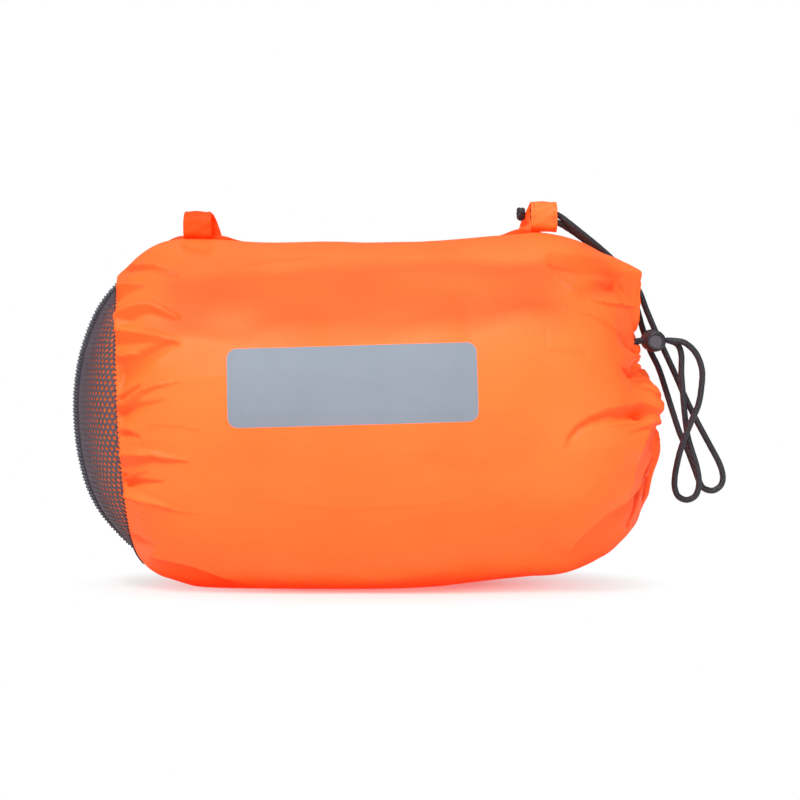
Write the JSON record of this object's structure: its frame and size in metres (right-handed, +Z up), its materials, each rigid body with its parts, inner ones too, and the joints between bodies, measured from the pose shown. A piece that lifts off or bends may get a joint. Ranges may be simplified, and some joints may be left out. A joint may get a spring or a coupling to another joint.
{
  "type": "packed bothy bag",
  "caption": "Packed group shelter in its own drawstring stuff sack, with a mesh end, belt loops, a gathered mouth and a sprung barrel cord lock.",
  "frame": {"origin": "centre of the sack's footprint, on the surface that it lies on", "axes": "+X from the mesh end to the gathered mouth, +Y to the back, +Z up"},
  "size_m": [0.2356, 0.1175, 0.1374],
  "materials": {
    "coated_nylon": "satin",
    "grey_net": "matte",
    "overlock_tape": "matte",
    "elastic_cord": "matte",
    "lock_plastic": "satin",
    "spring_steel": "satin",
    "shelter_fabric": "satin",
    "window_film": "gloss"
  },
  "bodies": {
    "bag": {"front_panel": "coated_nylon", "back_panel": "coated_nylon", "mesh_end_front": "grey_net", "mesh_end_back": "grey_net", "mesh_end_seam": "overlock_tape", "mouth_hem": "coated_nylon", "belt_loop_left": "coated_nylon", "belt_loop_right": "coated_nylon", "drawcord_in_hem": "elastic_cord", "tether_loop": "elastic_cord", "tether_knot": "elastic_cord", "canopy_fold_front": "shelter_fabric", "canopy_fold_back": "shelter_fabric", "seat_panel_fold": "shelter_fabric", "window_fold": "window_film", "vent_sleeve_fold": "shelter_fabric"},
    "cord_lock": {"cord_lock_barrel": "lock_plastic", "cord_lock_spring": "spring_steel", "drawcord_loop": "elastic_cord"},
    "lock_button": {"cord_lock_button": "lock_plastic"}
  },
  "joints": [
    {"name": "lock_slide", "type": "slide", "parent": "bag", "child": "cord_lock", "axis": [1, 0, 0], "range_m": [0, 0.006]},
    {"name": "button_press", "type": "slide", "parent": "cord_lock", "child": "lock_button", "axis": [0, 1, 0], "range_m": [0, 0.002], "stiffness_N_per_m": 700, "springref_m": -0.003, "deforming": ["cord_lock_spring"]}
  ]
}
